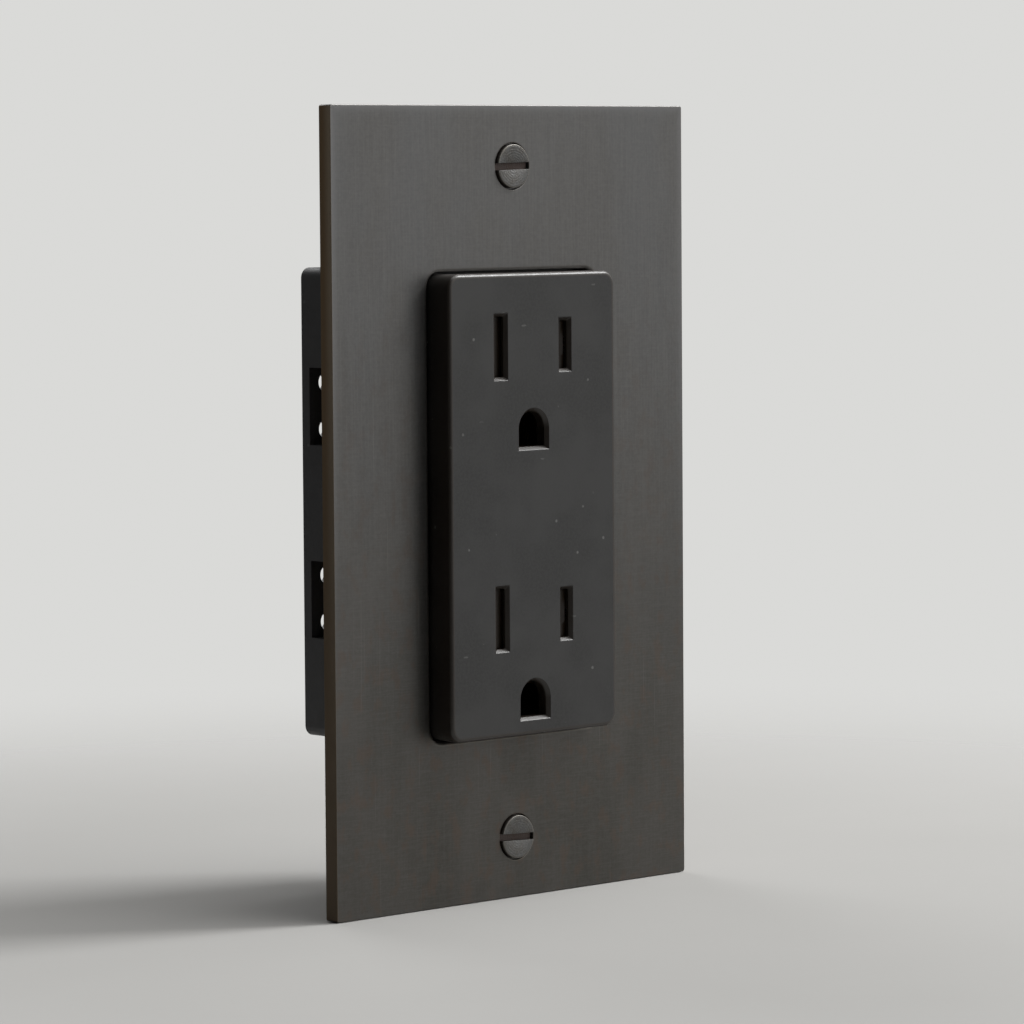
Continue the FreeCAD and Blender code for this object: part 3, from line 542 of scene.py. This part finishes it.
def make_wall_plate():
    low, high = corners("wall_plate")
    skin = Skin()
    outline = rounded(high.x - low.x, high.z - low.z, PLATE_CORNER, steps=4)
    back_edge = list(reversed(lip(high.y, -1, FINE_EDGE, steps=3)))
    front, back = skin.wall(outline, lip(low.y, 1, FINE_EDGE, steps=4) + back_edge)
    recess_edge = lip(high.y, -1, RECESS_EDGE, hole=True, steps=3)
    recess_rim, recess_floor = skin.wall(rounded(*RECESS), recess_edge + [(0.0, RECESS_FLOOR, 0.0)])
    window_edge = lip(low.y, 1, WINDOW_EDGE, hole=True, steps=7)
    openings = [skin.wall(rounded(*WINDOW), window_edge + [(0.0, RECESS_FLOOR, 0.0)])]
    step = BORE_RADIUS - PASS_RADIUS
    for level in LEVELS:
        bore = circle(BORE_RADIUS, 0.0, middle(f"plate_screw_{level}").z)
        openings.append(skin.wall(bore, lip(low.y, 1, FINE_EDGE, hole=True, steps=3) + [
            (0.0, BORE_FLOOR, 0.0), (step, BORE_FLOOR, 0.0), (step, RECESS_FLOOR, 0.0)]))
    skin.sheet(front, *[opening[0] for opening in openings])
    skin.sheet(back, recess_rim)
    skin.sheet(recess_floor, *[opening[1] for opening in openings])
    mesh = skin.mesh("wall_plate_brushed")
    shade(mesh)
    place("wall_plate_brushed", mesh, "device", BRONZE_PLATE, "wall_plate")


def blade_slot(side, line):
    """Outline of one blade slot of the face, at the height line."""
    middle_x = BLADE_X[side]
    slot = rounded(SLOT_WIDTH, SLOT_HEIGHT[side], SLOT_CORNER, middle_x, line, steps=3, mitred=True)
    return ledged(slot, middle_x) if side == "neutral" else slot


def make_face_cover():
    low, high = corners("face_cover")
    front, back = low.y, high.y
    ceiling, shutter_ceiling = front + FACE_WALL, front + FACE_SKIN
    width, height, corner = FACE
    skin = Skin()
    face, face_foot = skin.wall(
        rounded(width, height, corner),
        lip(front, 1, FACE_EDGE, steps=7) + [(0.0, FLANGE_FRONT, 0.0)])
    flange = rounded(high.x - low.x, high.z - low.z, FLANGE_CORNER)
    flange_front, flange_back = skin.wall(flange, [
        (FLANGE_EDGE, FLANGE_FRONT, 0.0), (0.0, FLANGE_FRONT + FLANGE_EDGE, 0.0),
        (0.0, back, 0.0)])
    skin.sheet(flange_front, face_foot)
    room = rounded(width - 2 * FACE_SIDE, height - 2 * FACE_SIDE, ROOM_CORNER)
    room_mouth, room_ceiling = skin.wall(room, [(0.0, back, 0.0), (0.0, ceiling, 0.0)])
    skin.sheet(flange_back, room_mouth)
    through, rooms = [], []
    for level in LEVELS:
        line = BLADE_LINE[level]
        pocket = rounded(*SHUTTER_ROOM, up=line)
        mouth, floor = skin.wall(pocket, [(0.0, ceiling, 0.0), (0.0, shutter_ceiling, 0.0)])
        slots = [skin.wall(blade_slot(side, line), lead_in(front, shutter_ceiling))
                 for side in SIDES]
        skin.sheet(floor, *[slot[1] for slot in slots])
        ground = skin.wall(arch(GROUND_RADIUS, GROUND_HOLE[level]), lead_in(front, ceiling))
        through += [opening[0] for opening in (*slots, ground)]
        rooms += [mouth, ground[1]]
    skin.sheet(face, *through)
    skin.sheet(room_ceiling, *rooms)
    mesh = skin.mesh("face_cover_moulded")
    shade(mesh)
    place("face_cover_moulded", mesh, "device", FACE_PLASTIC, "face_cover")


# ------------------------------------------------------------------ screws

# Turns a screw's own axes so that its head looks that way.
OUTWARD = {
    "front": Matrix(((1, 0, 0), (0, 0, -1), (0, 1, 0))),
    "left": Matrix(((0, 0, -1), (0, 1, 0), (1, 0, 0))),
    "right": Matrix(((0, 0, 1), (0, 1, 0), (-1, 0, 0))),
}


SEGMENTS = 56                     # points round a screw
SHANK_RADIUS = 1.72
THREAD_PITCH = 25.4 / 32
THREAD_DEPTH = 0.36
THREAD_STEPS = 9                  # rings per pitch
TIP_TAPER = 0.25
HEAD_UNDERCUT = 0.12              # broken edge under a head
HEAD_EDGE = 0.26                  # rounding of a head's face
HEAD_EDGE_STEPS = 4
SLOT_EDGE = 0.06                  # broken edges of a driver slot
SLOT_EDGE_ANGLE = 50
SCREW_SHARP_ANGLE = 38


def thread_reach(turn, z, length, neck_length):
    """Radius of the threaded shank at an angle and a height, fading out at both ends."""
    phase = (z / THREAD_PITCH - turn / (2 * math.pi)) % 1
    crest = max(0.0, min(1.0, 1.35 - 2.7 * abs(phase - 0.5)))    # flat on top, sloped at the sides
    fade = max(0.0, min(1.0, (z + length) / THREAD_PITCH, (-neck_length - z) / THREAD_PITCH))
    return SHANK_RADIUS - THREAD_DEPTH + THREAD_DEPTH * crest * fade


def screw_mesh(length, head_radius, head_height, neck_length, edge):
    """A threaded screw about Z: the head's underside at zero, its face above, its tip below."""
    skin = Skin()
    turns = [2 * math.pi * i / SEGMENTS for i in range(SEGMENTS)]

    def ring(radius, z, wear=0.0):
        return skin.ring([(radius * math.cos(t), radius * math.sin(t), z) for t in turns], wear)

    def threaded(z):
        reaches = [thread_reach(t, z, length, neck_length) for t in turns]
        return skin.ring([(r * math.cos(t), r * math.sin(t), z) for r, t in zip(reaches, turns)])

    root = SHANK_RADIUS - THREAD_DEPTH
    threaded_length = length - neck_length
    steps = int(threaded_length / THREAD_PITCH * THREAD_STEPS)
    rings = [ring(root - TIP_TAPER, -length)]
    rings += [threaded(-length + threaded_length * i / steps) for i in range(1, steps + 1)]
    if neck_length:
        rings.append(ring(root + 0.08, -neck_length + 0.1))
    # The plain shank widens a little where it meets the head.
    rings += [
        ring(root + 0.1, -0.2),
        ring(root + 0.3, 0.0),
        ring(head_radius - HEAD_UNDERCUT, 0.0),
        ring(head_radius, HEAD_UNDERCUT, 0.4),
    ]
    for i in range(HEAD_EDGE_STEPS + 1):
        turn = math.pi / 2 * i / HEAD_EDGE_STEPS
        rings.append(ring(head_radius - edge * (1 - math.cos(turn)),
                          head_height - edge * (1 - math.sin(turn)), 1.0))
    rings.append(ring(head_radius - edge - KEPT_FLAT, head_height))
    skin.tube(rings)
    skin.fan(rings[0], (0, 0, -length))
    skin.fan(rings[-1], (0, 0, head_height))
    return skin.mesh("screw_blank")


def cut_slot(mesh, head_radius, head_height, slot_width, slot_depth):
    """The mesh with a driver slot along X across its head, and the new edges broken."""
    margin = 1
    reach, top, half = head_radius + margin, head_height + margin, slot_width / 2
    floor = head_height - slot_depth
    skin = Skin()
    first, second = [
        skin.ring([(x, -half, top), (x, -half, floor), (x, half, floor), (x, half, top)], 1.0)
        for x in (-reach, reach)]
    skin.band(first, second)
    skin.bm.faces.new(first)
    skin.bm.faces.new(second)
    cutter = add_object("slot_cutter", skin.mesh("slot_cutter"))
    blank = add_object("slot_blank", mesh)
    cut = blank.modifiers.new("slot", "BOOLEAN")
    cut.object, cut.operation, cut.solver = cutter, "DIFFERENCE", "EXACT"
    soften = blank.modifiers.new("edge", "BEVEL")
    soften.width, soften.segments = SLOT_EDGE * MM, 2
    soften.limit_method, soften.angle_limit = "ANGLE", math.radians(SLOT_EDGE_ANGLE)
    evaluated = blank.evaluated_get(bpy.context.evaluated_depsgraph_get())
    slotted = bpy.data.meshes.new_from_object(evaluated)
    for made in (cutter, blank):
        bpy.data.objects.remove(made)
    return slotted


def make_screw(node, slot, paint, outward, driver_slot, head_height, neck_length=0.0,
               edge=HEAD_EDGE, turned=0.0):
    """A detailed screw in place of a CAD one: its box gives the axis, the head and the length."""
    low, high = corners(node)
    turn = OUTWARD[outward]
    axis = Vector(turn.col[2])
    along = max(range(3), key=lambda i: abs(axis[i]))
    head_end, tip_end = (high, low) if axis[along] > 0 else (low, high)
    across = next(i for i in range(3) if i != along)
    head_radius = (high[across] - low[across]) / 2
    length = abs(tip_end[along] - head_end[along]) - head_height
    centre = (low + high) / 2
    centre[along] = head_end[along] - axis[along] * head_height
    blank = screw_mesh(length, head_radius, head_height, neck_length, edge)
    mesh = cut_slot(blank, head_radius, head_height, *driver_slot)
    mesh.transform(Matrix.Rotation(math.radians(turned), 4, "Z"))
    shade(mesh, SCREW_SHARP_ANGLE)
    mesh.name = f"{node}_threaded"
    matrix = Matrix.Translation(centre * MM) @ turn.to_4x4()
    place(f"{node}_threaded", mesh, node, paint, node, matrix)


# Width and depth of the driver slot, then height of the head.
PLATE_HEAD = ((1.0, 0.9), 1.05)
MOUNTING_HEAD = ((1.0, 0.8), 1.4)
TERMINAL_HEAD = ((1.1, 1.2), 2.2)
PLATE_HEAD_EDGE = 0.17
MOUNTING_NECK = 3.6
PLATE_SLOT_TURN = {"upper": 1.4, "lower": -2.5}    # degrees that a plate screw's slot is off level


def make_screws():
    for level in LEVELS:
        make_screw(f"plate_screw_{level}", "plate_bronze", BRONZE_SCREW, "front", *PLATE_HEAD,
                   edge=PLATE_HEAD_EDGE, turned=PLATE_SLOT_TURN[level])
        make_screw(f"mounting_screw_{level}", "zinc_steel", ZINC, "front", *MOUNTING_HEAD,
                   neck_length=MOUNTING_NECK)
        make_screw(f"neutral_screw_{level}", "nickel_steel", NICKEL, "left", *TERMINAL_HEAD)
        make_screw(f"line_screw_{level}", "contact_brass", BRASS_SCREW, "right", *TERMINAL_HEAD)
    make_screw("ground_screw", "green_steel", GREEN, "left", *TERMINAL_HEAD)


# ------------------------------------------------------------------ shutter springs

WIRE_RADIUS = 0.14
COILS = 8
POINTS_PER_COIL, POINTS_AROUND_WIRE = 28, 10
SPRING_SHARP_ANGLE = 60


def make_spring(level):
    """A closed-end coil of wire along X."""
    node = f"shutter_spring_{level}"
    low, high = corners(node)
    long = high.x - low.x
    coil = (high.z - low.z) / 2 - WIRE_RADIUS
    centre = (low + high) / 2
    closed = 1.0 / COILS
    tight = 2 * WIRE_RADIUS * COILS / long
    axis = Vector((1.0, 0.0, 0.0))
    skin = Skin()

    def along(share):
        """Share of the length reached after a share of the turns: the end turns lie closed."""
        inner = max(0.0, min(1.0, (share - closed) / (1 - 2 * closed)))
        ends = min(share, closed) + max(0.0, share - (1 - closed))
        return ends * tight + inner * (1 - 2 * closed * tight)

    rings = []
    count = COILS * POINTS_PER_COIL
    around = [2 * math.pi * k / POINTS_AROUND_WIRE for k in range(POINTS_AROUND_WIRE)]
    for i in range(count + 1):
        share = i / count
        turn = 2 * math.pi * share * COILS
        out = Vector((0.0, math.cos(turn), math.sin(turn)))
        x = low.x + WIRE_RADIUS + (long - 2 * WIRE_RADIUS) * along(share)
        spot = Vector((x, centre.y, centre.z)) + coil * out
        rings.append(skin.ring(
            [spot + WIRE_RADIUS * (math.cos(a) * out + math.sin(a) * axis) for a in around]))
    skin.tube(rings)
    skin.bm.faces.new(rings[0])
    skin.bm.faces.new(rings[-1])
    mesh = skin.mesh(f"{node}_coil")
    shade(mesh, SPRING_SHARP_ANGLE)
    spring = place(f"{node}_coil", mesh, "device", SPRING, node)
    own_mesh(spring)


# ------------------------------------------------------------------ CAD nodes that stay

# Start of the node's name: its material and the width of its broken edges.
KEPT = {
    "shutter_tray": (TRAY_PLASTIC, 0.12),
    "shutter": (SHUTTER_PLASTIC, 0.10),
    "mounting_strap": (ZINC_UPRIGHT, 0.16),
    "screw_retainer": (FIBRE, 0.06),
    "back_housing": (HOUSING_PLASTIC, 0.22),
    "assembly_screws": (ZINC, 0.08),
    "neutral_bus": (BRASS, 0.08),
    "line_bus": (BRASS, 0.08),
    "ground_bus": (BRASS, 0.08),
    "ground_contact": (BRASS, 0.06),
    "contact_rivets": (BRASS_SCREW, 0.08),
    "strap_rivets": (ZINC, 0.06),
    "neutral_clamp": (ZINC, 0.12),
    "line_clamp": (ZINC, 0.12),
}


WELD_DISTANCE = 0.002
FLAT_ANGLE = 0.6                  # degrees under which two facets are one flat face
BROKEN_ANGLE = 40                 # degrees from which an edge is broken


def finish_cad_nodes():
    """Give every CAD node that still shows its material and broken edges."""
    for name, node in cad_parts.items():
        if node.hide_render:
            continue
        family = max((start for start in KEPT if name.startswith(start)), key=len)
        paint, edge = KEPT[family]
        for slot in node.material_slots:
            slot.material = paint
        weld = node.modifiers.new("weld", "WELD")
        weld.merge_threshold = WELD_DISTANCE * MM
        flat = node.modifiers.new("flat", "DECIMATE")
        flat.decimate_type, flat.angle_limit = "DISSOLVE", math.radians(FLAT_ANGLE)
        soften = node.modifiers.new("edge", "BEVEL")
        soften.width, soften.segments = edge * MM, 2
        soften.limit_method, soften.angle_limit = "ANGLE", math.radians(BROKEN_ANGLE)
        steady = node.modifiers.new("normals", "WEIGHTED_NORMAL")
        steady.weight = NORMAL_WEIGHT


# ------------------------------------------------------------------ floor, light and camera

FLOOR_RADIUS = 320.0
FLOOR_SOLID = 100.0               # radius from which the floor fades out
FLOOR_GONE = 304.0                # radius at which it is gone
FLOOR_GAP = 0.1                   # below the object
SEEN_TONE = (0.70, 0.70, 0.685, 1.0)
GLOW_TONE = (1.0, 0.995, 0.98, 1.0)
GLOW_LEAST = 0.01

# Azimuth and elevation in degrees, cosine at which the glow fades out, strength.
SKY_GLOWS = (
    ((55, 37), 0.445, 1.18),
    ((8, 12), 0.55, 0.42),
    ((-140, 10), 0.45, 0.12),
)
# Azimuth and elevation in degrees, distance and size in metres, power in watts.
SOFTBOXES = {
    "key": (66, 42, 0.85, 0.30, 7.0),
    "top": (60, 80, 0.9, 0.6, 3.0),
    "rear": (165, 30, 1.0, 0.5, 2.4),
}
# Degrees, then metres from the target, and millimetres of lens and sensor.
VIEW_AZIMUTH, VIEW_ELEVATION, VIEW_ROLL = -43.9, 4.05, -0.39
VIEW_DISTANCE, VIEW_LENS, SENSOR_WIDTH = 0.7066, 171.6, 36.0
VIEW_TARGET = Vector((0.00182, 0.0, -0.00152))


def direction(azimuth, elevation):
    """Unit vector from the object towards a place seen at these angles: azimuth 0 is the front."""
    a, e = math.radians(azimuth), math.radians(elevation)
    return Vector((math.sin(a) * math.cos(e), -math.cos(a) * math.cos(e), math.sin(e)))


def make_floor():
    """A pale matt floor that fades out far from the object, and is clear from below."""
    skin = Skin()
    level = cad_low.z / MM - FLOOR_GAP
    skin.bm.faces.new(skin.ring([(x, y, level) for x, y in circle(FLOOR_RADIUS, steps=96)(0.0)]))
    paint = Paint("floor_matt", Roughness=0.85, Specular_IOR_Level=0.15)
    cloud = paint.grain((60.0, 60.0, 60.0), detail=3.0)
    paint.colour(paint.blend(cloud, (0.36, 0.356, 0.345), (0.385, 0.38, 0.37)))
    paint.relief(paint.grain((0.9, 0.9, 0.9), detail=4.0, shift=3.0), 0.05, 0.3)
    far = paint.node("VectorMath", {0: paint.place}, operation="LENGTH").outputs["Value"]
    faded = paint.span(far, FLOOR_SOLID * MM, FLOOR_GONE * MM)
    below = paint.node("NewGeometry").outputs["Backfacing"]
    surface = paint.node("MixShader", {
        0: paint.sums("MAXIMUM", faded, below),
        1: paint.shader.outputs[0],
        2: paint.node("BsdfTransparent").outputs[0],
    })
    output = next(n for n in paint.tree.nodes if n.type == "OUTPUT_MATERIAL")
    paint.tree.links.new(surface.outputs[0], output.inputs["Surface"])
    mesh = skin.mesh("floor")
    mesh.materials.append(paint.material)
    add_object("floor", mesh)


def make_sky():
    """Surroundings that light the object by a few soft glows, and are seen as one pale tone."""
    world = bpy.data.worlds.new("studio")
    bpy.context.scene.world = world
    world.use_nodes = True
    tree = world.node_tree
    tree.nodes.clear()
    add, link = tree.nodes.new, tree.links.new
    towards = add("ShaderNodeTexCoord").outputs["Generated"]
    total = None
    for angles, reach, power in SKY_GLOWS:
        side = add("ShaderNodeVectorMath")
        side.operation = "DOT_PRODUCT"
        side.inputs[1].default_value = direction(*angles)
        link(towards, side.inputs[0])
        glow = add("ShaderNodeMapRange")
        glow.interpolation_type = "SMOOTHSTEP"
        for socket, number in (("From Min", reach), ("From Max", 1.0), ("To Min", GLOW_LEAST),
                               ("To Max", power)):
            glow.inputs[socket].default_value = number
        link(side.outputs["Value"], glow.inputs["Value"])
        if total:
            both = add("ShaderNodeMath")
            link(total, both.inputs[0])
            link(glow.outputs["Result"], both.inputs[1])
            total = both.outputs[0]
        else:
            total = glow.outputs["Result"]
    seen, light = add("ShaderNodeBackground"), add("ShaderNodeBackground")
    seen.inputs["Color"].default_value = SEEN_TONE
    light.inputs["Color"].default_value = GLOW_TONE
    link(total, light.inputs["Strength"])
    mixed = add("ShaderNodeMixShader")
    link(add("ShaderNodeLightPath").outputs["Is Camera Ray"], mixed.inputs[0])
    link(light.outputs[0], mixed.inputs[1])
    link(seen.outputs[0], mixed.inputs[2])
    link(mixed.outputs[0], add("ShaderNodeOutputWorld").inputs["Surface"])


def make_light(name, azimuth, elevation, distance, size, power):
    """A square softbox aimed at the object."""
    data = bpy.data.lights.new(name, "AREA")
    data.shape, data.size, data.energy = "SQUARE", size, power
    light = add_object(name, data)
    away = direction(azimuth, elevation)
    light.location = away * distance
    light.rotation_euler = away.to_track_quat("Z", "Y").to_euler()


def make_camera():
    data = bpy.data.cameras.new("camera")
    data.lens, data.sensor_width = VIEW_LENS, SENSOR_WIDTH
    data.clip_start, data.clip_end = 0.05, 20.0
    camera = add_object("camera", data)
    back = direction(VIEW_AZIMUTH, VIEW_ELEVATION)
    right = Vector((0, 0, 1)).cross(back).normalized()
    level = Matrix((right, back.cross(right), back)).transposed().to_4x4()
    roll = Matrix.Rotation(math.radians(VIEW_ROLL), 4, "Z")
    camera.matrix_world = Matrix.Translation(VIEW_TARGET + back * VIEW_DISTANCE) @ level @ roll
    bpy.context.scene.camera = camera


make_wall_plate()
make_face_cover()
make_screws()
for outlet in LEVELS:
    make_spring(outlet)
finish_cad_nodes()
make_floor()
make_sky()
for softbox, settings in SOFTBOXES.items():
    make_light(softbox, *settings)
make_camera()
bpy.context.scene.view_settings.view_transform = "Standard"
